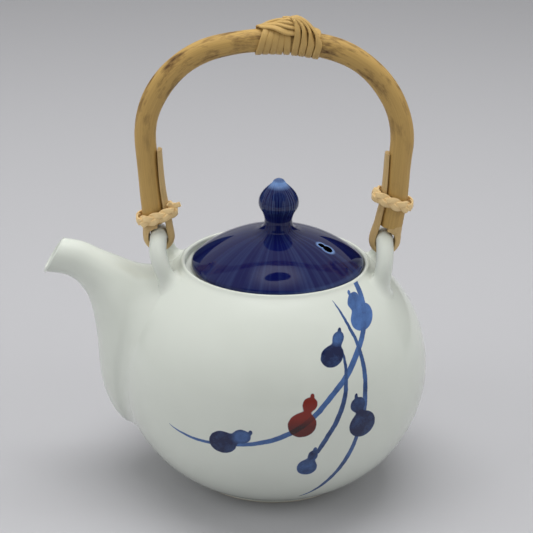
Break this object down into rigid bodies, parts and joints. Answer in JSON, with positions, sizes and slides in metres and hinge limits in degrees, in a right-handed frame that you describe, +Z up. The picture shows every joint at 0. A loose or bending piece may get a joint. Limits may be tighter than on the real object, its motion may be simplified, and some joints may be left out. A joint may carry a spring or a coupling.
{
  "type": "teapot",
  "caption": "Round porcelain teapot with a beaked spout, a domed blue lid with an onion knob, and an arched cane handle that swings on lugs at its shoulders.",
  "frame": {"origin": "middle of the foot ring, on the surface that the pot stands on", "axes": "+Z up along the pot's axis, spout towards -X, handle's swing axis along X, +Y away from the viewer of the picture"},
  "size_m": [0.1869, 0.15, 0.2303],
  "materials": {
    "white_glaze": "gloss",
    "cobalt_glaze": "gloss",
    "cane": "satin",
    "rattan_strip": "satin"
  },
  "bodies": {
    "pot": {"pot_body": "white_glaze", "spout": "white_glaze", "strainer": "white_glaze", "left_lug": "white_glaze", "right_lug": "white_glaze"},
    "lid": {"lid": "cobalt_glaze", "lid_knob": "cobalt_glaze"},
    "handle": {"handle_cane": "cane", "left_cane_tongue": "cane", "right_cane_tongue": "cane", "left_binding": "rattan_strip", "right_binding": "rattan_strip", "crown_winding": "rattan_strip", "crown_bundle": "rattan_strip"}
  },
  "joints": [
    {"name": "lid_lift", "type": "slide", "parent": "pot", "child": "lid", "axis": [0, 0, 1], "range_m": [0, 0.045]},
    {"name": "handle_swing", "type": "hinge", "parent": "pot", "child": "handle", "pos_m": [0, 0, 0.10807], "axis": [1, 0, 0], "range_deg": [-60, 60]}
  ]
}
